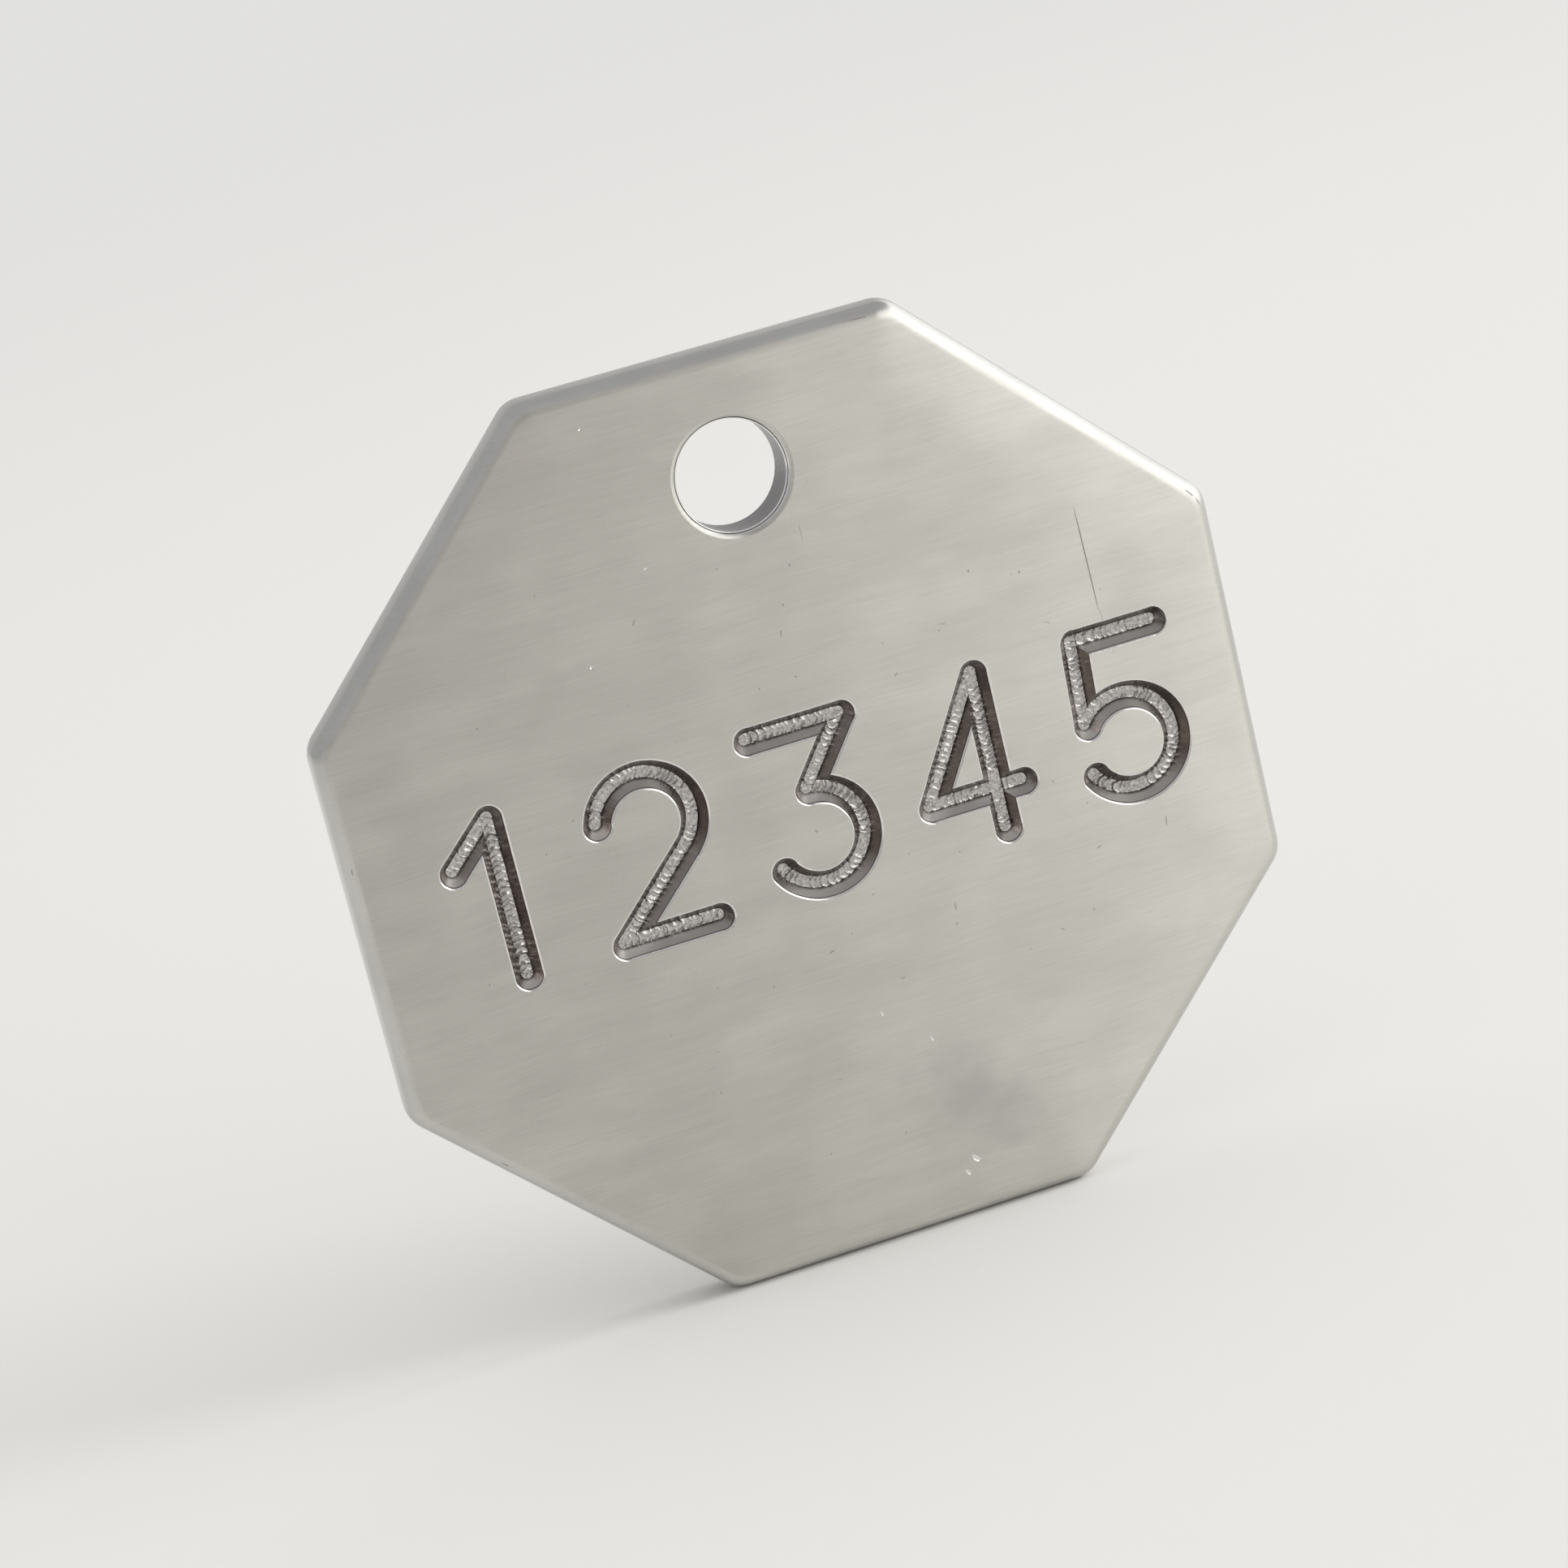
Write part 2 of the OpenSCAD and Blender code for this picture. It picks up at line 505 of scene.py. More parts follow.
def groove_tree() -> NodeTree:
    """Builds the tree that sweeps a cutter's section along a stroke.

    The floor gets the overlapping crescents of a cutter that chatters, and the
    walls ripple along the stroke.

    Returns:
        The tree. Its section has the distance across the stroke as X and the
        depth below the face as Y.
    """
    nodes, given, result = new_group(
        "Milled Groove",
        "GeometryNodeTree",
        {
            Socket.GEOMETRY: ["Stroke"],
            Socket.OBJECT: ["Section"],
            Socket.FLOAT: [
                "Step",
                "Depth",
                "Sink",
                "Seed",
                "Floor Reach",
                "Lip Depth",
                "Chatter Height",
                "Chatter Pitch",
                "Ripple Height",
                "Ripple Length",
            ],
            Socket.MATERIAL: ["Wall", "Floor", "Lip"],
        },
        {Socket.GEOMETRY: ["Cutter"]},
    )
    seed, reach, pitch = given["Seed"], given["Floor Reach"], given["Chatter Pitch"]
    path = nodes.made(
        "GeometryNodeResampleCurve", {"Curve": given["Stroke"], "Length": given["Step"]}, mode="LENGTH"
    )
    length = nodes.add("GeometryNodeSplineParameter").outputs["Length"]
    right = nodes.vector("CROSS_PRODUCT", nodes.made("GeometryNodeInputTangent"), nodes.combined(z=1.0))
    travel = nodes.capture(path, {"Along": ("FLOAT", length), "Right": ("VECTOR", right)})
    place = nodes.split(nodes.position())
    fields = {"Across": ("FLOAT", place["X"]), "Below": ("FLOAT", place["Y"])}
    tool = nodes.capture(nodes.shape(given["Section"]), fields)
    sweep = nodes.made(
        "GeometryNodeCurveToMesh", {"Curve": travel[0], "Profile Curve": tool[0], "Fill Caps": True}
    )
    along, across, below = travel["Along"], tool["Across"], tool["Below"]
    on_floor = nodes.math("GREATER_THAN", below, nodes.minus(given["Depth"], SLACK))
    on_side = nodes.math("GREATER_THAN", nodes.math("ABSOLUTE", across), nodes.minus(reach, SLACK))
    on_lip = nodes.math("LESS_THAN", below, given["Lip Depth"])

    # Crescents: the cutter's round tip, stepping forward by about one pitch at a time.
    # It runs fast and slow by a few turns, and calmly on some stretches
    tip_share, wander_pitches, wander_turns = 1.15, 3.0, 3.0
    calm_pitches, calm_row, calm_height = 6.0, 7.0, 0.3
    least_ridge, jump_share, grain_share = 0.35, 0.9, 0.6
    tip = nodes.times(reach, tip_share)
    bow = nodes.math("SQRT", nodes.minus(nodes.math("POWER", tip, 2.0), nodes.math("POWER", across, 2.0)))
    lead = nodes.over(nodes.plus(along, bow), pitch)
    slow = nodes.over(along, nodes.times(pitch, wander_pitches))
    phase = nodes.plus(lead, nodes.times(nodes.noise(nodes.combined(slow, seed), 1.0), wander_turns))
    turn = nodes.combined(nodes.math("FLOOR", phase), seed)
    ridge = nodes.math("POWER", nodes.minus(nodes.times(nodes.math("FRACT", phase), 2.0), 1.0), 2.0)
    chance = nodes.add("ShaderNodeTexWhiteNoise", {"Vector": turn}, noise_dimensions="3D").outputs["Value"]
    stretch = nodes.combined(nodes.over(along, nodes.times(pitch, calm_pitches)), seed, calm_row)
    rough = nodes.plus(calm_height, nodes.ramped(nodes.noise(stretch, 1.0), 0.35, 0.6))
    ridge = nodes.times(ridge, rough, nodes.plus(least_ridge, chance))
    jump = nodes.times(nodes.minus(chance, 0.5), jump_share)
    lift = nodes.plus(ridge, jump, nodes.times(floor_grain(nodes), grain_share))
    lift = nodes.times(lift, given["Chatter Height"], on_floor)

    # Ripple: each wall moves in and out by itself along the stroke
    side = nodes.math("SIGN", across)
    beat = nodes.combined(nodes.over(along, given["Ripple Length"]), seed, side)
    swell = nodes.minus(nodes.noise(beat, 3.0, 0.6), 0.5)
    swell = nodes.times(swell, given["Ripple Height"], on_side)
    sideways = nodes.scaled(travel["Right"], nodes.times(swell, side))
    upward = nodes.combined(z=nodes.minus(lift, nodes.times(given["Sink"], on_floor)))
    shift = nodes.vector("ADD", sideways, upward)
    moved = nodes.made("GeometryNodeSetPosition", {"Geometry": sweep, "Offset": shift})
    return finish_tree(nodes, result, moved, cut_coats(given, on_floor, on_lip))


def scatter_tree() -> NodeTree:
    """Builds the tree that strews small dents over a flat patch.

    Returns:
        The tree. Dents keep a least distance from each other, are turned by up
        to a given angle either way, and vary in size.
    """
    nodes, given, result = new_group(
        "Strewn Dents",
        "GeometryNodeTree",
        {
            Socket.GEOMETRY: ["Patch"],
            Socket.OBJECT: ["Ball"],
            Socket.FLOAT: ["Least Distance", "Density", "Spread", "Turn"],
            Socket.VECTOR: ["Size"],
            Socket.INT: ["Seed"],
            Socket.MATERIAL: ["Material"],
        },
        {Socket.GEOMETRY: ["Cutter"]},
    )
    seed, spread, turn = given["Seed"], given["Spread"], given["Turn"]
    strewn = nodes.made(
        "GeometryNodeDistributePointsOnFaces",
        {
            "Mesh": given["Patch"],
            "Distance Min": given["Least Distance"],
            "Density Max": given["Density"],
            "Seed": seed,
        },
        distribute_method="POISSON",
    )
    angle = nodes.chance(nodes.times(turn, -1.0), turn, seed)
    factor = nodes.chance(nodes.minus(1.0, spread), nodes.plus(1.0, spread), nodes.plus(seed, 1.0))
    copies = nodes.made(
        "GeometryNodeInstanceOnPoints",
        {
            "Points": strewn,
            "Instance": nodes.shape(given["Ball"]),
            "Rotation": nodes.combined(z=angle),
            "Scale": nodes.scaled(given["Size"], factor),
        },
    )
    return finish_tree(nodes, result, copies, [(given["Material"], None)])


def marks_tree() -> NodeTree:
    """Builds the tree that sets the cutter's round mark at each place where it plunged or turned.

    Returns:
        The tree, which takes the places as loose points.
    """
    nodes, given, result = new_group(
        "Cutter Marks",
        "GeometryNodeTree",
        {
            Socket.GEOMETRY: ["Places"],
            Socket.OBJECT: ["Mark"],
            Socket.FLOAT: ["Floor Depth", "Floor Grain", "Lip Depth"],
            Socket.MATERIAL: ["Wall", "Floor", "Lip"],
        },
        {Socket.GEOMETRY: ["Cutter"]},
    )
    places = nodes.made("GeometryNodeMeshToPoints", {"Mesh": given["Places"]})
    copies = nodes.made(
        "GeometryNodeInstanceOnPoints", {"Points": places, "Instance": nodes.shape(given["Mark"])}
    )
    marks = nodes.made("GeometryNodeRealizeInstances", {0: copies})
    below = nodes.times(nodes.split(nodes.position())["Z"], -1.0)
    on_floor = nodes.math("GREATER_THAN", below, given["Floor Depth"])
    on_lip = nodes.math("LESS_THAN", below, given["Lip Depth"])
    kept = nodes.capture(marks, {"Floor Part": ("BOOLEAN", on_floor), "Lip Part": ("BOOLEAN", on_lip)})
    lift = nodes.combined(z=nodes.times(floor_grain(nodes), given["Floor Grain"]))
    moved = nodes.made(
        "GeometryNodeSetPosition", {"Geometry": kept[0], "Selection": kept["Floor Part"], "Offset": lift}
    )
    return finish_tree(nodes, result, moved, cut_coats(given, kept["Floor Part"], kept["Lip Part"]))


def in_mm(shares: list[Point], scale: float, origin: Point) -> list[Point]:
    """Returns points in millimetres, from shares of a scale and the place of their origin."""
    return [(origin[0] + scale * x, origin[1] + scale * y) for x, y in shares]


@dataclass(frozen=True)
class Line:
    """A straight stroke of the cutter, in shares of the stroke height."""

    start: Point
    end: Point

    def points(self, scale: float, origin: Point) -> list[Point]:
        """Gives the stroke's ends in millimetres."""
        return in_mm([self.start, self.end], scale, origin)


@dataclass(frozen=True)
class Arc:
    """A round stroke of the cutter, in shares of the stroke height, with its angles in degrees."""

    centre: Point
    radius: float
    first: float
    turn: float
    step: float = 3.0

    def points(self, scale: float, origin: Point) -> list[Point]:
        """Gives points along the stroke in millimetres, a few degrees apart."""
        steps = math.ceil(abs(self.turn) / self.step)
        shares = arc_points(self.centre, self.radius, self.first, self.turn, steps)
        return in_mm(shares, scale, origin)


def numerals() -> list[list[Line | Arc]]:
    """Draws the numerals one to five.

    Returns:
        The strokes of each numeral, in the order in which the cutter makes
        them, in shares of the stroke height from the foot of its middle line.
    """
    half, bowl = 0.3, 0.3
    leg_reach = math.hypot(half, 1.0 - half)
    leg_length = math.sqrt(leg_reach**2 - half**2)
    leg_angle = math.degrees(math.atan2(1.0 - half, half) - math.asin(half / leg_reach))
    leg = math.radians(leg_angle)
    leg_top = (leg_length * math.cos(leg) - half, leg_length * math.sin(leg))
    five_angle = 145.0
    join = arc_points((0.0, bowl), bowl, five_angle, 0.0, 1)[0]
    back, foot, stem = (-0.22, 1.0), 0.26, 0.14
    one = [Line((-0.18, 0.74), (0.1, 1.0)), Line((0.1, 1.0), (0.1, 0.0))]
    two = [
        Line((half, 0.0), (-half, 0.0)),
        Line((-half, 0.0), leg_top),
        Arc((0.0, 1.0 - half), half, leg_angle - 90.0, 258.0 - leg_angle),
    ]
    three = [
        Arc((0.0, bowl), bowl, -150.0, 240.0),
        Line((0.0, 2.0 * bowl), (half, 1.0)),
        Line((half, 1.0), (-half, 1.0)),
    ]
    four = [
        Line((stem, 0.0), (stem, 1.0)),
        Line((stem, 1.0), (-half, foot)),
        Line((-half, foot), (half, foot)),
    ]
    five = [
        Arc((0.0, bowl), bowl, -150.0, five_angle + 150.0),
        Line(join, back),
        Line(back, (half, 1.0)),
    ]
    return [one, two, three, four, five]


def finish_group(nodes: Nodes, result: NodeInputs, **made: object) -> NodeTree:
    """Ends a shader group.

    Args:
        nodes: The group's nodes.
        result: What the group has to give.
        made: What it gives, by name.

    Returns:
        The group.
    """
    for name, value in made.items():
        nodes.feed(result[name], value)
    return nodes.tree


def brush_lines_group() -> NodeTree:
    """Builds the lines that a belt leaves along X: fine lines, broader bands and short breaks."""
    nodes, given, result = new_group(
        "Brush Lines",
        "ShaderNodeTree",
        {Socket.VECTOR: ["Place"], Socket.FLOAT: ["Length", "Spacing"]},
        {Socket.FLOAT: ["Tone", "Breaks", "Height"]},
    )
    drift_grain, drift_reach, depth_grain, band_share = 0.12, 0.5, 3.0, 0.4
    place = nodes.split(given["Place"])
    drift = nodes.noise(nodes.scaled(given["Place"], drift_grain), 1.0)
    across = nodes.plus(place["Z"], nodes.times(drift, drift_reach))
    grid = nodes.combined(
        nodes.over(place["X"], given["Length"]),
        nodes.over(across, given["Spacing"]),
        nodes.times(place["Y"], depth_grain),
    )
    lines = nodes.noise(grid, 3.0, 0.65)
    bands = nodes.noise(nodes.vector("MULTIPLY", grid, (0.3, 0.07, 1.0)), 2.0)
    short = nodes.noise(nodes.vector("MULTIPLY", grid, (2.6, 0.75, 1.0)), 1.0)
    tone = nodes.ramped(nodes.mixed(band_share, lines, bands), 0.3, 0.7)
    return finish_group(nodes, result, Tone=tone, Breaks=nodes.ramped(short, 0.66, 0.76), Height=lines)


def scratches_group() -> NodeTree:
    """Builds sparse hair scratches in a few directions."""
    nodes, given, result = new_group(
        "Hair Scratches",
        "ShaderNodeTree",
        {Socket.VECTOR: ["Place"], Socket.FLOAT: ["Length", "Width"]},
        {Socket.FLOAT: ["Scratch"]},
    )
    angles, patch_share, hair_layer, patch_layer = (0.35, 1.25, 2.1), 0.05, 5.0, 3.0
    found = []
    for turn, angle in enumerate(angles):
        part = nodes.split(nodes.turned(given["Place"], angle))
        along = nodes.over(part["X"], given["Length"])
        across = nodes.over(part["Z"], given["Width"])
        broad = nodes.times(across, patch_share)
        hair = nodes.noise(nodes.combined(along, across, hair_layer * turn), 0.0)
        patch = nodes.noise(nodes.combined(along, broad, patch_layer + turn), 0.0)
        found.append(nodes.times(nodes.ramped(hair, 0.74, 0.8), nodes.ramped(patch, 0.5, 0.62)))
    return finish_group(nodes, result, Scratch=nodes.most(0.0, *found))


def tool_marks_group() -> NodeTree:
    """Builds the parallel streaks that a cutting edge leaves, with their spacing along each axis."""
    nodes, given, result = new_group(
        "Tool Marks",
        "ShaderNodeTree",
        {Socket.VECTOR: ["Place", "Spacing"]},
        {Socket.FLOAT: ["Tone", "Height"]},
    )
    streaks = nodes.noise(nodes.vector("DIVIDE", given["Place"], given["Spacing"]), 3.0, 0.6)
    return finish_group(nodes, result, Tone=nodes.ramped(streaks, 0.28, 0.72), Height=streaks)


def grain_group() -> NodeTree:
    """Builds an even fine grain, with soft cloudy patches."""
    nodes, given, result = new_group(
        "Fine Grain",
        "ShaderNodeTree",
        {Socket.VECTOR: ["Place"], Socket.FLOAT: ["Size"]},
        {Socket.FLOAT: ["Tone", "Cloud", "Height"]},
    )
    cloud_grain = 0.03
    grid = nodes.scaled(given["Place"], nodes.over(1.0, given["Size"]))
    grain = nodes.noise(grid, 3.0, 0.6)
    cloud = nodes.ramped(nodes.noise(nodes.scaled(grid, cloud_grain), 2.0), 0.35, 0.65)
    return finish_group(nodes, result, Tone=nodes.ramped(grain, 0.3, 0.7), Cloud=cloud, Height=grain)


@dataclass(frozen=True)
class Groups:
    """The effects that several materials share."""

    brush: NodeTree
    scratches: NodeTree
    marks: NodeTree
    grain: NodeTree

    @classmethod
    def make(cls) -> "Groups":
        """Builds each effect once."""
        return cls(brush_lines_group(), scratches_group(), tool_marks_group(), grain_group())


class SteelLook:
    """A steel material in the making: its nodes, its Principled shader and the place on the object."""

    def __init__(self, name: str) -> None:
        """Starts the material under a name."""
        self.material = bpy.data.materials.new(name)
        self.material.use_nodes = True
        self.nodes = Nodes(self.material.node_tree)
        self.shader = self.material.node_tree.nodes["Principled BSDF"]
        self.shader.inputs["Metallic"].default_value = 1.0
        self.place = self.nodes.scaled(self.coordinate("Object"), 1.0 / MM)

    def coordinate(self, name: str) -> NodeSocket:
        """Returns one of the texture coordinates."""
        return self.nodes.add("ShaderNodeTexCoord").outputs[name]

    def normal(self) -> NodeOutputs:
        """Returns the X, Y and Z of the way in which the surface faces."""
        return self.nodes.split(self.coordinate("Normal"))

    def effect(self, tree: NodeTree, **inputs: object) -> NodeOutputs:
        """Places one of the shared effects.

        Args:
            tree: The effect.
            inputs: What it is given besides the place, by name.

        Returns:
            What it gives, by name.
        """
        return self.nodes.add("ShaderNodeGroup", {"Place": self.place, **inputs}, node_tree=tree).outputs

    def feed(self, name: str, value: object) -> None:
        """Gives one of the shader's inputs a value or a link."""
        self.nodes.feed(self.shader.inputs[name], value)

    def spread_light(self, anisotropy: float) -> None:
        """Spreads what the steel mirrors across its brush lines."""
        self.feed("Anisotropic", anisotropy)
        self.feed("Tangent", self.nodes.made("ShaderNodeTangent", direction_type="UV_MAP", uv_map=BRUSH_MAP))

    def bump(self, height: object, micrometres: float, under: object = None) -> NodeSocket:
        """Adds a bump of a given depth.

        Args:
            height: Height from 0 to 1.
            micrometres: Depth of the bump.
            under: Normal of a broader bump below this one.

        Returns:
            The bumped normal.
        """
        given = {"Height": height, "Strength": 1.0, "Distance": micrometres * 1e-6}
        if under is not None:
            given["Normal"] = under
        return self.nodes.made("ShaderNodeBump", given)


@dataclass(frozen=True)
class BrushedFace:
    """The faces: long brush lines, hair scratches and a dull smudge, in millimetres."""

    light: Colour = (0.67, 0.656, 0.612)
    dark: Colour = (0.585, 0.572, 0.532)
    scratched: Colour = (0.5, 0.49, 0.48)
    polished: float = 0.28
    dull: float = 0.34
    worn_dull: float = 0.1
    anisotropy: float = 0.98
    line_length: float = 2.6
    line_spacing: float = 0.085
    line_depth: float = 1.0
    hair_length: float = 2.6
    hair_width: float = 0.05
    grain_size: float = 0.09
    cloud_share: float = 0.3
    break_wear: float = 0.24
    hair_wear: float = 0.14
    smudge_wear: float = 0.5
    smudge_place: Triple = (3.2, -1.0, -23.4)
    smudge_reach: Triple = (1.6, 1.0, 3.4)
    smudge_turn: float = 0.75
    smudge_grain: float = 0.9
    smudge_ragged: float = 1.4
    smudge_edge: Point = (0.1, 1.1)

    def material(self, groups: Groups) -> Material:
        """Makes the material."""
        look = SteelLook("brushed_face")
        nodes = look.nodes
        brush = look.effect(groups.brush, Length=self.line_length, Spacing=self.line_spacing)
        hair = look.effect(groups.scratches, Length=self.hair_length, Width=self.hair_width)
        grain = look.effect(groups.grain, Size=self.grain_size)
        tone = nodes.mixed(self.cloud_share, brush["Tone"], grain["Cloud"])
        worn = nodes.most(
            nodes.times(brush["Breaks"], self.break_wear),
            nodes.times(hair["Scratch"], self.hair_wear),
            nodes.times(self.smudge(look), self.smudge_wear),
        )
        colour = nodes.blended(tone, self.dark, self.light)
        look.feed("Base Color", nodes.blended(worn, colour, self.scratched))
        rough = nodes.mixed(tone, self.dull, self.polished)
        look.feed("Roughness", nodes.plus(rough, nodes.times(worn, self.worn_dull)))
        look.spread_light(self.anisotropy)
        look.feed("Normal", look.bump(brush["Height"], self.line_depth))
        return look.material

    def smudge(self, look: SteelLook) -> NodeSocket:
        """Makes the mask of one soft, uneven smudge near the foot of the face."""
        nodes = look.nodes
        turned = nodes.turned(nodes.vector("SUBTRACT", look.place, self.smudge_place), self.smudge_turn)
        away = nodes.measure("LENGTH", nodes.vector("DIVIDE", turned, self.smudge_reach))
        uneven = nodes.minus(nodes.noise(nodes.scaled(look.place, self.smudge_grain), 2.0), 0.5)
        away = nodes.plus(away, nodes.times(uneven, self.smudge_ragged))
        return nodes.minus(1.0, nodes.ramped(away, *self.smudge_edge))


@dataclass(frozen=True)
class TumbledRim:
    """The rounded edge: a satin that the brush lines of the face run out over.

    Its own colours are darker than the face's: painted shade, for darker
    surroundings that the edge mirrors. It turns into the face's look between two
    shares of facing straight out.
    """

    # Painted shade: the rim's colours are darker than the face's.
    light: Colour = (0.635, 0.627, 0.6)
    dark: Colour = (0.545, 0.538, 0.514)
    smooth: float = 0.22
    anisotropy: float = 0.88
    line_length: float = 1.6
    line_spacing: float = 0.07
    grain_size: float = 0.12
    line_share: float = 0.5
    turns_face: Point = (0.8, 0.97)
    face: BrushedFace = BrushedFace()

    def material(self, groups: Groups) -> Material:
        """Makes the material."""
        look = SteelLook("tumbled_rim")
        nodes = look.nodes
        facing = nodes.ramped(nodes.math("ABSOLUTE", look.normal()["Y"]), *self.turns_face)
        brush = look.effect(groups.brush, Length=self.line_length, Spacing=self.line_spacing)
        grain = look.effect(groups.grain, Size=self.grain_size)
        tone = nodes.mixed(self.line_share, grain["Cloud"], brush["Tone"])
        edge = nodes.blended(tone, self.dark, self.light)
        flat = nodes.blended(tone, self.face.dark, self.face.light)
        look.feed("Base Color", nodes.blended(facing, edge, flat))
        satin = nodes.mixed(tone, self.face.dull, self.face.polished)
        look.feed("Roughness", nodes.mixed(facing, self.smooth, satin))
        look.spread_light(self.anisotropy)
        look.feed("Normal", look.bump(brush["Height"], self.face.line_depth))
        return look.material


@dataclass(frozen=True)
class CutSteel:
    """A cut surface: streaks of a cutting edge over a fine grain.

    The spacing is that of the streaks along X, Y and Z, in millimetres. It is
    wide along the way in which they run. Crease shade heights are the distances
    from the plate's middle plane of the lines of painted shade that darken the
    surface at its foot and its top. With an up-facing highlight, the surface gets
    painted highlight where it faces up, and painted shade where it faces down.
    """

    name: str
    light: Colour
    dark: Colour
    smooth: float
    rough: float
    spacing: Triple
    streak_depth: float
    grain_size: float = 0.06
    grain_depth: float = 1.0
    grain_share: float = 0.45
    crease_shade_heights: Point | None = None
    crease_shade_widths: Point = (0.13, 0.1)
    crease_shade_share: float = 0.4
    up_facing_highlight: Colour | None = None
    satin: float = 0.5
    up_highlight_from: Point = (0.3, 0.8)
    down_shade_until: Point = (-0.8, 0.1)
    down_shade_share: float = 0.5

    def material(self, groups: Groups) -> Material:
        """Makes the material."""
        look = SteelLook(self.name)
        nodes = look.nodes
        marks = look.effect(groups.marks, Spacing=self.spacing)
        grain = look.effect(groups.grain, Size=self.grain_size)
        tone = nodes.mixed(self.grain_share, marks["Tone"], grain["Tone"])
        colour = nodes.blended(tone, self.dark, self.light)
        roughness = nodes.mixed(tone, self.rough, self.smooth)
        # Painted light: highlight where the surface faces up, shade where it faces down.
        if self.up_facing_highlight:
            rise = look.normal()["Z"]
            down_shade_colour = dimmed(self.dark, self.down_shade_share)
            up_highlight = nodes.ramped(rise, *self.up_highlight_from)
            colour = nodes.blended(nodes.ramped(rise, *self.down_shade_until), down_shade_colour, colour)
            colour = nodes.blended(up_highlight, colour, self.up_facing_highlight)
            roughness = nodes.mixed(up_highlight, roughness, self.satin)
        # Painted shade in lines along the foot and the top of the surface.
        if self.crease_shade_heights:
            colour = nodes.blended(self.crease_shade(look), colour, dimmed(self.dark, self.crease_shade_share))
        look.feed("Base Color", colour)
        look.feed("Roughness", roughness)
        broad = look.bump(marks["Height"], self.streak_depth)
        look.feed("Normal", look.bump(grain["Height"], self.grain_depth, broad))
        return look.material

    def crease_shade(self, look: SteelLook) -> NodeSocket:
        """Makes the mask of the painted shade in lines along the foot and the top of a wall."""
        nodes = look.nodes
        (foot, top), (foot_width, top_width) = self.crease_shade_heights, self.crease_shade_widths
        height = nodes.math("ABSOLUTE", nodes.split(look.place)["Y"])
        low = nodes.minus(1.0, nodes.ramped(height, foot, foot + foot_width))
        return nodes.most(low, nodes.ramped(height, top - top_width, top))


# Painted shade: the bore's colours are far darker than steel, for the shade inside the hole.
BORE = CutSteel(
    "drilled_bore",
    light=(0.22, 0.215, 0.22),
    dark=(0.1, 0.096, 0.1),
    smooth=0.22,
    rough=0.36,
    spacing=(4.0, 0.05, 4.0),
    streak_depth=3.0,
)
# The lip is brighter than the face's steel: partly a polished edge, partly painted highlight along the rim
# of each cut.
LIP = CutSteel(
    "burnished_lip_painted_highlight",
    light=(0.86, 0.85, 0.83),
    dark=(0.7, 0.69, 0.67),
    smooth=0.12,
    rough=0.22,
    spacing=(0.2, 0.2, 0.2),
    streak_depth=0.6,
)
# The walls' brown colours are painted reflection of brown surroundings on the steel.
WALL = CutSteel(
    "milled_walls",
    light=(0.51, 0.462, 0.435),
    dark=(0.27, 0.235, 0.22),
    smooth=0.14,
    rough=0.28,
    spacing=(0.13, 1.6, 0.13),
    streak_depth=2.0,
    grain_depth=0.3,
    crease_shade_heights=(0.5, 0.97),
    up_facing_highlight=(0.9, 0.875, 0.85),
)
FLOOR = CutSteel(
    "chattered_floor",
    light=(0.66, 0.64, 0.62),
    dark=(0.23, 0.215, 0.205),
    smooth=0.13,
    rough=0.3,
    spacing=(0.13, 0.13, 0.13),
    streak_depth=3.0,
)
PIT = CutSteel(
    "dark_pit",
    light=(0.5, 0.48, 0.46),
    dark=(0.34, 0.32, 0.31),
    smooth=0.25,
    rough=0.35,
    spacing=(0.1, 0.1, 0.1),
    streak_depth=1.0,
)


@dataclass(frozen=True)
class Finishes:
    """The materials of the tag, one for each way in which its surfaces were made."""

    face: Material
    rim: Material
    bore: Material
    lip: Material
    wall: Material
    floor: Material
    pit: Material

    @classmethod
    def make(cls) -> "Finishes":
        """Makes all the materials."""
        groups = Groups.make()
        looks = (BrushedFace(), TumbledRim(), BORE, LIP, WALL, FLOOR, PIT)
        return cls(*(look.material(groups) for look in looks))

    @property
    def milled(self) -> dict[str, Material]:
        """The materials of a milled cut, by the names of its tree's inputs."""
        return {"Wall": self.wall, "Floor": self.floor, "Lip": self.lip}


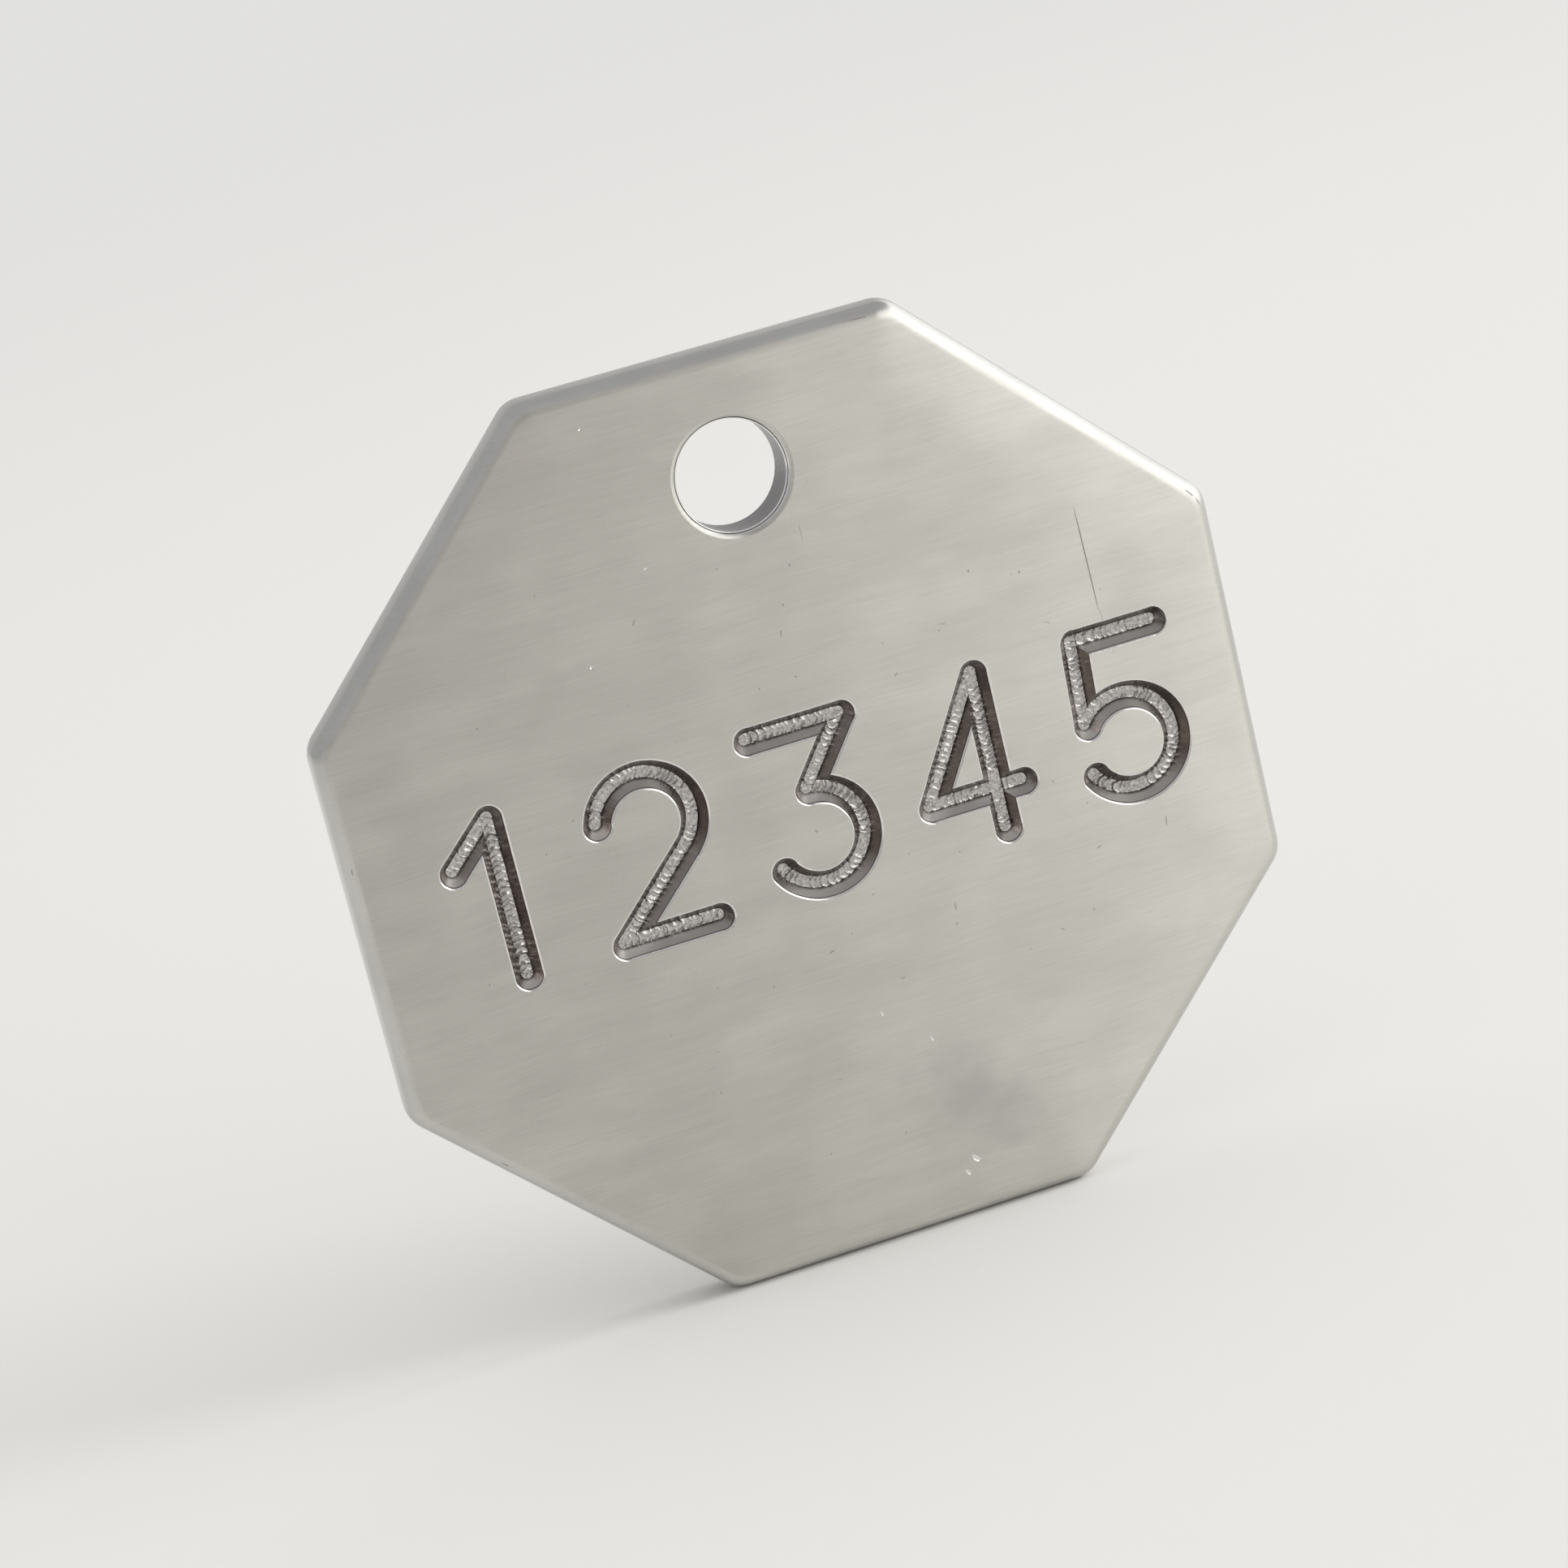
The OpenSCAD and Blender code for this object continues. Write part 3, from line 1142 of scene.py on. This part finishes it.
@dataclass(frozen=True)
class Plate:
    """The bare plate: an octagon with a crowned face and a rounded edge, in millimetres."""

    across_flats: float
    thickness: float
    corner_radius: float = 1.1
    rim_radius: float = 0.6
    crown_width: float = 2.6
    crown_angle: float = 2.6
    side_angle: float = 11.0
    side_steps: int = 4
    rim_steps: int = 14
    satin_steps: int = 2
    crown_steps: int = 10
    corner_steps: int = 12
    sides: int = 8

    @property
    def inradius(self) -> float:
        """Distance from the middle to a side."""
        return self.across_flats / 2.0

    @property
    def face(self) -> float:
        """Height of the face over the plate's middle."""
        return self.thickness / 2.0

    def half_section(self) -> list[Point]:
        """Gives the inset and height of the edge's points, from the side up to the flat of the face."""
        lean, bulge = math.radians(self.crown_angle), math.radians(self.side_angle)
        drop = self.crown_width * math.tan(lean) / 2.0
        middle = self.face - drop - self.rim_radius * math.cos(lean)
        top = middle + self.rim_radius * math.sin(bulge)
        reach = top * math.tan(bulge / 2.0)
        shares = [(i + 0.5) / self.side_steps for i in range(self.side_steps)]
        side = [(reach * share**2, top * share) for share in shares]
        centre = (reach + self.rim_radius * math.cos(bulge), middle)
        turn = self.crown_angle + self.side_angle - 90.0
        rounding = arc_points(centre, self.rim_radius, 180.0 - self.side_angle, turn, self.rim_steps)
        inset = rounding[-1][0]
        crown = []
        for i in range(1, self.crown_steps + 1):
            share = i / self.crown_steps
            crown.append((inset + self.crown_width * share, self.face - drop * (1.0 - share) ** 2))
        return side + rounding + crown

    def level(self, x: float, y: float) -> float:
        """Gives the height of the plate's upper surface at a place."""
        sides = (math.tau * i / self.sides for i in range(self.sides))
        inset = self.inradius - max(x * math.cos(a) + y * math.sin(a) for a in sides)
        return float(np.interp(inset, *zip(*self.half_section())))

    def blank(self, finishes: Finishes) -> Mesh:
        """Builds the bare plate."""
        upper = self.half_section()
        lower = [(inset, -height) for inset, height in reversed(upper)]
        values = {
            "Inradius": self.inradius,
            "Sides": self.sides,
            "Corner Radius": self.corner_radius,
            "Corner Steps": self.corner_steps,
            "Rim Reach": upper[self.side_steps + self.rim_steps - self.satin_steps][0],
            "Face": finishes.face,
            "Rim": finishes.rim,
        }
        return grow(blank_tree(), polyline("edge_section", lower + upper), values)


@dataclass(frozen=True)
class RingHole:
    """The hole for the ring, in millimetres."""

    radius: float
    rise: float
    mouth: BrokenEdge = BrokenEdge(radius=0.25, graze=5.0, steps=12)
    bright_from: float = 38.0
    steps: int = 128
    overrun: float = 0.3

    def cutter(self, plate: Plate, finishes: Finishes) -> Mesh:
        """Builds the cutter that drills the hole and breaks both its edges."""
        mouth = [(self.radius + out, plate.face + rise) for out, rise in self.mouth.points(90.0)]
        reach = mouth[-1][0]
        upper = [*mouth, (reach, plate.face + self.overrun), (0.0, plate.face + self.overrun)]
        lower = [(radius, -height) for radius, height in reversed(upper)]
        mesh = lathe("ring_hole_cutter", lower + upper, self.steps, finishes.bore)
        mesh.materials.append(finishes.lip)
        mesh.materials.append(finishes.face)
        # The steep part of the mouth takes the lip's bright colours, with their painted highlight; the rest
        # of the hole takes the bore's dark colours, with their painted shade.
        shallow = math.cos(math.radians(self.bright_from))
        for polygon in mesh.polygons:
            if abs(polygon.center.z) > mouth[0][1]:
                polygon.material_index = 2 if abs(polygon.normal.z) > shallow else 1
        mesh.transform(Matrix.Translation((0.0, self.rise, 0.0)))
        return mesh


@dataclass(frozen=True)
class Engraving:
    """The milled numerals, in millimetres."""

    height: float = 6.6
    pitch: float = 5.7
    width: float = 1.0
    floor_width: float = 0.4
    depth: float = 0.5
    lip: BrokenEdge = BrokenEdge(radius=0.1, graze=14.0, steps=5)
    overrun: float = 0.25
    floor_steps: int = 10
    wall_steps: int = 4
    wall_bow: float = 0.02
    step: float = 0.024
    chatter_height: float = 0.036
    chatter_pitch: float = 0.23
    ripple_height: float = 0.018
    ripple_length: float = 0.35
    depth_scatter: float = 0.008
    dwell: float = 0.004
    pit_radius: float = 0.03
    pit_depth: float = 0.014
    mark_rise: float = 0.022
    mark_rings: int = 5
    mark_grain: float = 0.05
    mark_steps: int = 48
    seed: int = 11

    @property
    def stroke_height(self) -> float:
        """Height of a numeral along the middle of its grooves."""
        return self.height - self.width

    @property
    def floor_reach(self) -> float:
        """Half the width of a groove's floor."""
        return self.floor_width / 2.0

    @property
    def lip_points(self) -> list[Point]:
        """Distance from the middle and depth of the points of the groove's broken edge."""
        top = self.width / 2.0
        angle = math.degrees(math.atan2(self.depth, top - self.floor_reach))
        return [(top + out, -rise) for out, rise in self.lip.points(angle)]

    @property
    def lip_depth(self) -> float:
        """How far the broken edge reaches below the face."""
        return self.lip_points[0][1]

    def half_section(self) -> list[Point]:
        """Gives the distance from the middle and the depth of a groove's points, from floor to top."""
        lip = self.lip_points
        top, below = lip[0]
        wall = []
        for i in range(self.wall_steps):
            share = i / self.wall_steps
            bow = self.wall_bow * math.sin(math.pi * share)
            across = self.floor_reach + (top - self.floor_reach) * share + bow
            wall.append((across, self.depth + (below - self.depth) * share))
        return [*wall, *lip, (lip[-1][0], -self.overrun)]

    def section(self) -> list[Point]:
        """Gives the whole section of a groove, once round."""
        right = self.half_section()
        left = [(-across, below) for across, below in reversed(right)]
        shares = [2.0 * i / self.floor_steps - 1.0 for i in range(1, self.floor_steps)]
        floor = [(self.floor_reach * share, self.depth) for share in shares]
        return [*left, *floor, *right]

    def cutters(self, plate: Plate, finishes: Finishes) -> list[Mesh]:
        """Builds the cutters of all the numerals.

        Args:
            plate: The plate that they cut.
            finishes: The tag's materials.

        Returns:
            One mesh for each stroke, and one for the round marks at their ends.
        """
        chance = random.Random(self.seed)
        section = polyline("groove_section", self.section(), closed=True)
        tree = groove_tree()
        figures = numerals()
        middle = (len(figures) - 1) / 2.0
        made, ends = [], []
        for place, strokes in enumerate(figures):
            origin = ((place - middle) * self.pitch, -self.stroke_height / 2.0)
            for stroke in strokes:
                points = stroke.points(self.stroke_height, origin)
                ends.append(points[0])
                values = {
                    "Section": section,
                    "Step": self.step,
                    "Depth": self.depth,
                    "Floor Reach": self.floor_reach,
                    "Chatter Height": self.chatter_height,
                    "Chatter Pitch": self.chatter_pitch,
                    "Ripple Height": self.ripple_height,
                    "Ripple Length": self.ripple_length,
                    "Sink": chance.uniform(-self.depth_scatter, self.depth_scatter),
                    "Seed": chance.uniform(0.0, 100.0),
                    "Lip Depth": self.lip_depth,
                    **finishes.milled,
                }
                made.append(grow(tree, polyline("stroke", points), values))
            ends.append(points[-1])
        bpy.data.objects.remove(section)
        made.append(self.marks(ends, finishes))
        for mesh in made:
            mesh.transform(Matrix.Translation((0.0, 0.0, plate.face)))
        return made

    def marks(self, places: list[Point], finishes: Finishes) -> Mesh:
        """Builds the round marks that the cutter leaves where it plunges, turns or lifts.

        Args:
            places: Where it does so.
            finishes: The tag's materials.

        Returns:
            One mesh that holds all the marks, at the height of a face at 0.
        """
        rings = [self.floor_reach * i / self.mark_rings for i in range(1, self.mark_rings)]
        level = self.mark_rise - self.depth
        floor = [(0.0, level - self.pit_depth), *((radius, level) for radius in (self.pit_radius, *rings))]
        sides = [(across + self.dwell, max(-below, level)) for across, below in self.half_section()]
        mark = lathe("mark", [*floor, *sides, (0.0, self.overrun)], self.mark_steps, finishes.wall)
        tool = on_bench("mark", mark)
        spots = bpy.data.meshes.new("places")
        spots.from_pydata([(x, y, 0.0) for x, y in places], [], [])
        values = {
            "Mark": tool,
            "Floor Depth": self.depth - self.mark_rise - SLACK,
            "Floor Grain": self.mark_grain,
            "Lip Depth": self.lip_depth,
            **finishes.milled,
        }
        mesh = grow(marks_tree(), on_bench("places", spots), values)
        bpy.data.objects.remove(tool)
        return mesh


def cut(blank: Mesh, cutters: list[Mesh]) -> Mesh:
    """Takes the cutters out of the blank.

    Args:
        blank: The bare plate.
        cutters: Closed meshes, which may overlap each other.

    Returns:
        What is left of the plate. A cut surface has its cutter's material.
    """
    bench = bpy.data.collections.new("cutters")
    tools = [bpy.data.objects.new("cutter", mesh) for mesh in cutters]
    for tool in tools:
        bench.objects.link(tool)
    bpy.context.scene.collection.children.link(bench)
    plate = on_bench("blank", blank)
    modifier = plate.modifiers.new("cut", "BOOLEAN")
    modifier.operation = "DIFFERENCE"
    modifier.solver = "MANIFOLD"
    modifier.operand_type = "COLLECTION"
    modifier.collection = bench
    modifier.material_mode = "TRANSFER"
    mesh = evaluated(plate)
    for done in (plate, *tools):
        bpy.data.objects.remove(done)
    bpy.data.collections.remove(bench)
    return mesh


@dataclass(frozen=True)
class Dent:
    """One long or round dent in the face, in millimetres and degrees."""

    x: float
    y: float
    length: float
    width: float
    depth: float
    angle: float = 0.0

    def placement(self, height: float) -> Matrix:
        """Gives the matrix that turns a ball of radius 1 into this dent at a height."""
        turn = Matrix.Rotation(math.radians(self.angle), 4, "Z")
        size = Matrix.Diagonal((self.length / 2.0, self.width / 2.0, self.depth, 1.0))
        return Matrix.Translation((self.x, self.y, height)) @ turn @ size


@dataclass(frozen=True)
class Strewn:
    """Dents of one kind strewn over a face: their size, number and how far they turn from X."""

    size: Triple
    spacing: float
    density: float
    turn: float
    spread: float = 0.4


@dataclass(frozen=True)
class Wear:
    """The marks of use on both faces."""

    dings: tuple[Dent, ...] = (
        Dent(2.65, -13.9, 0.4, 0.19, 0.019, -50.0),
        Dent(2.25, -14.3, 0.3, 0.12, 0.011, -60.0),
        Dent(0.6, -7.8, 0.24, 0.06, 0.01, -70.0),
        Dent(2.1, -9.2, 0.24, 0.06, 0.01, -70.0),
        Dent(-6.2, 6.8, 0.13, 0.12, 0.02),
        Dent(-4.6, 14.6, 0.14, 0.12, 0.03),
        Dent(-3.6, 9.5, 0.12, 0.08, 0.012),
    )
    nicks: tuple[Dent, ...] = (
        Dent(15.62, 6.3, 0.5, 0.06, 0.03, -72.0),
        Dent(15.36, 6.72, 0.4, 0.06, 0.03, -52.0),
        Dent(5.3, 15.62, 0.9, 0.04, 0.02, -2.0),
        Dent(-13.3, -8.95, 0.3, 0.06, 0.03, -40.0),
        Dent(-15.66, 2.4, 0.26, 0.06, 0.02, 80.0),
    )
    scratches: tuple[Dent, ...] = (
        Dent(11.25, 5.6, 3.8, 0.045, 0.022, -89.0),
        Dent(11.4, 2.9, 1.8, 0.025, 0.009, -84.0),
        Dent(4.0, -4.9, 0.34, 0.04, 0.014, 87.0),
        Dent(12.0, -4.2, 0.4, 0.04, 0.013, 85.0),
        Dent(1.8, 9.2, 0.6, 0.025, 0.008, 88.0),
        Dent(1.6, -6.8, 0.22, 0.05, 0.009, -5.0),
        Dent(5.8, 4.8, 0.3, 0.04, 0.008, -12.0),
        Dent(9.4, 3.8, 0.26, 0.05, 0.008, -20.0),
    )
    pits: Strewn = Strewn((0.04, 0.032, 0.012), 1.3, 0.1, 3.0)
    dashes: Strewn = Strewn((0.09, 0.02, 0.007), 2.0, 0.04, 1.5)
    reach: float = 12.6
    ball_sides: int = 12
    ball_rings: int = 8
    patch_sides: int = 32
    seed: int = 4

    def cutters(self, plate: Plate, finishes: Finishes) -> list[Mesh]:
        """Builds the cutters of all the marks of use."""
        made = [
            # The dings take the lip's bright colours, with their painted highlight.
            self.placed("dings", self.dings, plate, finishes.lip),
            self.placed("scratches", self.scratches + self.nicks, plate, finishes.pit),
        ]
        tree = scatter_tree()
        ball = on_bench("ball", self.ball_mesh("ball", [Matrix.Identity(4)]))
        for side, height in enumerate((plate.face, -plate.face)):
            for turn, kind in enumerate((self.pits, self.dashes)):
                values = {
                    "Ball": ball,
                    "Least Distance": kind.spacing,
                    "Density": kind.density,
                    "Size": kind.size,
                    "Spread": kind.spread,
                    "Turn": kind.turn,
                    "Seed": self.seed + 10 * turn + side,
                    "Material": finishes.pit,
                }
                made.append(grow(tree, self.patch(height), values))
        bpy.data.objects.remove(ball)
        return made

    def placed(self, name: str, dents: tuple[Dent, ...], plate: Plate, material: Material) -> Mesh:
        """Builds one cutter that holds all of some dents, whose middles lie on the plate's surface."""
        mesh = self.ball_mesh(name, [dent.placement(plate.level(dent.x, dent.y)) for dent in dents])
        mesh.materials.append(material)
        return mesh

    def ball_mesh(self, name: str, placements: list[Matrix]) -> Mesh:
        """Builds a ball of radius 1 at each placement."""
        work = bmesh.new()
        ball = {"u_segments": self.ball_sides, "v_segments": self.ball_rings, "radius": 1.0}
        for placement in placements:
            bmesh.ops.create_uvsphere(work, matrix=placement, **ball)
        return mesh_of(work, name)

    def patch(self, height: float) -> Object:
        """Lays out the disc over which the dents are strewn."""
        work = bmesh.new()
        level = Matrix.Translation((0.0, 0.0, height))
        bmesh.ops.create_circle(
            work, cap_ends=True, segments=self.patch_sides, radius=self.reach, matrix=level
        )
        return on_bench("patch", mesh_of(work, "patch"))


@dataclass(frozen=True)
class IdTag:
    """The whole tag: its plate, hole and engraving, and where it stands in the model's frame."""

    plate: Plate
    hole: RingHole
    engraving: Engraving
    wear: Wear
    middle: Vector
    crease_angle: float = 32.0

    @classmethod
    def from_frame(cls) -> "IdTag":
        """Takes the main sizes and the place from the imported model."""
        low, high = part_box(NODE)
        size = (high - low) / MM
        middle = (high + low) / 2.0
        bore = next(mount for mount in frame["record"]["mounts"] if mount["name"] == "ring_hole")
        rise = (bore["pos_m"][2] - middle.z) / MM
        return cls(
            plate=Plate(across_flats=size.x, thickness=size.y),
            hole=RingHole(radius=bore["dims"]["r_mm"], rise=rise),
            engraving=Engraving(),
            wear=Wear(),
            middle=middle,
        )

    def build(self) -> Object:
        """Builds the finished tag and sets it in the model's frame."""
        finishes = Finishes.make()
        blank = self.plate.blank(finishes)
        cutters = [self.hole.cutter(self.plate, finishes)]
        cutters += self.engraving.cutters(self.plate, finishes)
        cutters += self.wear.cutters(self.plate, finishes)
        log.info("blank: %d faces, cutters: %d", len(blank.polygons), len(cutters))
        mesh = cut(blank, cutters)
        stand = Matrix.Rotation(math.radians(90.0), 4, "X")
        mesh.transform(Matrix.Translation(self.middle) @ stand @ Matrix.Scale(MM, 4))
        mesh.name = "engraved_plate"
        tag = on_bench("engraved_plate", mesh)
        self.smooth(tag, finishes)
        self.map_brushing(tag.data)
        return tag

    @staticmethod
    def map_brushing(mesh: Mesh) -> None:
        """Adds a map whose U runs up the face, across the brush lines, along which they spread light."""
        brushing = mesh.uv_layers.new(name=BRUSH_MAP)
        corners = np.empty(len(mesh.loops), np.int32)
        mesh.loops.foreach_get("vertex_index", corners)
        places = np.empty(len(mesh.vertices) * 3, np.float32)
        mesh.vertices.foreach_get("co", places)
        places = places.reshape(-1, 3)[corners] / MM
        brushing.uv.foreach_set("vector", places[:, [2, 0]].ravel())

    def smooth(self, tag: Object, finishes: Finishes) -> None:
        """Shades the tag smooth, with crisp edges and with the flats kept flat.

        Args:
            tag: The tag.
            finishes: Its materials. An edge between two of them is crisp, but the
                face runs on into the rim.
        """
        tag.data.shade_smooth()
        tag.data.set_sharp_from_angle(angle=math.radians(self.crease_angle))
        before_cutting = [tag.data.materials.find(made.name) for made in (finishes.face, finishes.rim)]
        work = bmesh.new()
        work.from_mesh(tag.data)
        for edge in work.edges:
            coats = {face.material_index for face in edge.link_faces}
            if len(coats) > 1 and not coats.issubset(before_cutting):
                edge.smooth = False
        work.to_mesh(tag.data)
        work.free()
        modifier = tag.modifiers.new("weighted", "WEIGHTED_NORMAL")
        modifier.mode = "FACE_AREA_WITH_ANGLE"
        modifier.keep_sharp = True
        shaded = evaluated(tag)
        tag.modifiers.clear()
        tag.data = shaded


@dataclass(frozen=True)
class Studio:
    """The floor, the lamp, the sky and the camera, in metres.

    The sky is bright on the window's side of a leaning plane and dim on the
    other side, with grey overhead and straight behind the tag. Far from the tag
    the floor fades into the backdrop.
    """

    floor_z: float
    floor_colour: Colour = (0.8, 0.785, 0.76)
    floor_reach: float = 4.0
    fade: Point = (0.1, 0.5)
    backdrop: Colour = (0.76, 0.755, 0.74)
    dim_side: Colour = (0.245, 0.213, 0.198)
    window_side: Colour = (2.05, 2.05, 2.02)
    window_rear: Colour = (1.45, 1.46, 1.46)
    overhead: Colour = (0.515, 0.52, 0.53)
    behind: Colour = (0.66, 0.65, 0.64)
    side_angle: float = 11.0
    side_lean: float = 0.25
    side_edge: float = 0.05
    rear_edge: Point = (-0.4, 0.5)
    overhead_tilt: float = 0.5
    overhead_edge: Point = (0.25, 0.5)
    behind_edge: Point = (0.66, 0.92)
    window_place: Triple = (1.15, -0.22, 0.55)
    window_size: Point = (0.75, 0.75)
    window_radiance: float = 4.8
    ceiling_place: Triple = (0.0, 0.0, 0.6)
    ceiling_size: Point = (0.7, 0.7)
    ceiling_radiance: float = 0.4
    eye: Triple = (-0.02925, -0.14258, 0.02822)
    aim: Triple = (-0.00081, -0.001, -0.01066)
    roll: float = -13.88
    lens: float = 101.6
    sensor: float = 36.0
    clip: Point = (0.005, 20.0)

    def build(self) -> None:
        """Builds the studio."""
        self.floor()
        self.sky()
        self.lamp("window_light", self.window_place, self.window_size, self.window_radiance)
        self.lamp("ceiling_light", self.ceiling_place, self.ceiling_size, self.ceiling_radiance)
        self.camera()

    def floor(self) -> None:
        """Lays the floor, which takes the tag's shadow and fades into the backdrop."""
        reach = self.floor_reach
        mesh = bpy.data.meshes.new("floor")
        corners = [(-reach, -reach), (reach, -reach), (reach, reach), (-reach, reach)]
        mesh.from_pydata([(x, y, self.floor_z) for x, y in corners], [], [(0, 1, 2, 3)])
        made = bpy.data.materials.new("pale_floor")
        made.use_nodes = True
        nodes = Nodes(made.node_tree)
        shader = made.node_tree.nodes["Principled BSDF"]
        shader.inputs["Base Color"].default_value = opaque(self.floor_colour)
        shader.inputs["Roughness"].default_value = 1.0
        shader.inputs["Specular IOR Level"].default_value = 0.0
        glow = nodes.made("ShaderNodeEmission", {"Color": opaque(self.backdrop)})
        away = nodes.measure("LENGTH", nodes.add("ShaderNodeTexCoord").outputs["Object"])
        seen = nodes.add("ShaderNodeLightPath").outputs["Is Camera Ray"]
        faded = nodes.times(nodes.ramped(away, *self.fade), seen)
        coat = nodes.made("ShaderNodeMixShader", {0: faded, 1: shader.outputs[0], 2: glow})
        nodes.feed(made.node_tree.nodes["Material Output"].inputs["Surface"], coat)
        mesh.materials.append(made)
        on_bench("floor", mesh)

    def sky(self) -> None:
        """Lights the scene from all round. The camera itself sees the plain backdrop there."""
        world = bpy.data.worlds.new("sky")
        world.use_nodes = True
        nodes = Nodes(world.node_tree)
        way = nodes.add("ShaderNodeTexCoord").outputs["Generated"]
        angle = math.radians(self.side_angle)
        right = (math.cos(angle), math.sin(angle), -self.side_lean)
        side = nodes.ramped(nodes.measure("DOT_PRODUCT", way, right), -self.side_edge, self.side_edge)
        part = nodes.split(way)
        tilt = nodes.times(part["X"], self.overhead_tilt)
        above = nodes.ramped(nodes.minus(part["Z"], tilt), *self.overhead_edge)
        back = nodes.ramped(part["Y"], *self.behind_edge)
        rear = nodes.ramped(part["Y"], *self.rear_edge)
        window = nodes.blended(rear, self.window_side, self.window_rear)
        sky = nodes.blended(side, self.dim_side, window)
        sky = nodes.blended(above, sky, self.overhead)
        sky = nodes.blended(back, sky, self.behind)
        light = world.node_tree.nodes["Background"]
        nodes.feed(light.inputs["Color"], sky)
        plain = nodes.made("ShaderNodeBackground", {"Color": opaque(self.backdrop)})
        seen = nodes.add("ShaderNodeLightPath").outputs["Is Camera Ray"]
        shown = nodes.made("ShaderNodeMixShader", {0: seen, 1: light.outputs[0], 2: plain})
        nodes.feed(world.node_tree.nodes["World Output"].inputs["Surface"], shown)
        bpy.context.scene.world = world

    def lamp(self, name: str, place: Triple, size: Point, radiance: float) -> None:
        """Hangs one soft lamp that points at the tag. It lights the floor, and steel mirrors the sky alone.

        Args:
            name: The lamp's name.
            place: Where it hangs.
            size: Its width and height.
            radiance: How bright its face is, where 1 looks white.
        """
        light = bpy.data.lights.new(name, "AREA")
        light.shape = "RECTANGLE"
        light.size, light.size_y = size
        light.energy = radiance * math.pi * light.size * light.size_y
        lamp = on_bench(name, light)
        lamp.location = place
        way = Vector(self.aim) - Vector(place)
        lamp.rotation_euler = way.to_track_quat("-Z", "Y").to_euler()
        lamp.visible_camera = False
        lamp.visible_glossy = False

    def camera(self) -> None:
        """Sets the camera where the photograph was taken from."""
        lens = bpy.data.cameras.new("camera")
        lens.lens = self.lens
        lens.sensor_width = self.sensor
        lens.clip_start, lens.clip_end = self.clip
        camera = on_bench("camera", lens)
        look = (Vector(self.aim) - Vector(self.eye)).to_track_quat("-Z", "Y").to_matrix().to_4x4()
        turn = Matrix.Rotation(math.radians(self.roll), 4, "Z")
        camera.matrix_world = Matrix.Translation(self.eye) @ look @ turn
        bpy.context.scene.camera = camera


def main() -> None:
    """Builds the tag and the studio, and reports each piece."""
    logging.basicConfig(level=logging.INFO, format="%(message)s")
    bpy.context.scene.view_settings.view_transform = "Standard"
    tag = IdTag.from_frame().build()
    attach(tag, "root")
    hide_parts(NODE)
    log.info("%s: %d faces", tag.name, len(tag.data.polygons))
    Studio(floor_z=CAD_BOX[0].z).build()


if __name__ == "__main__":
    main()
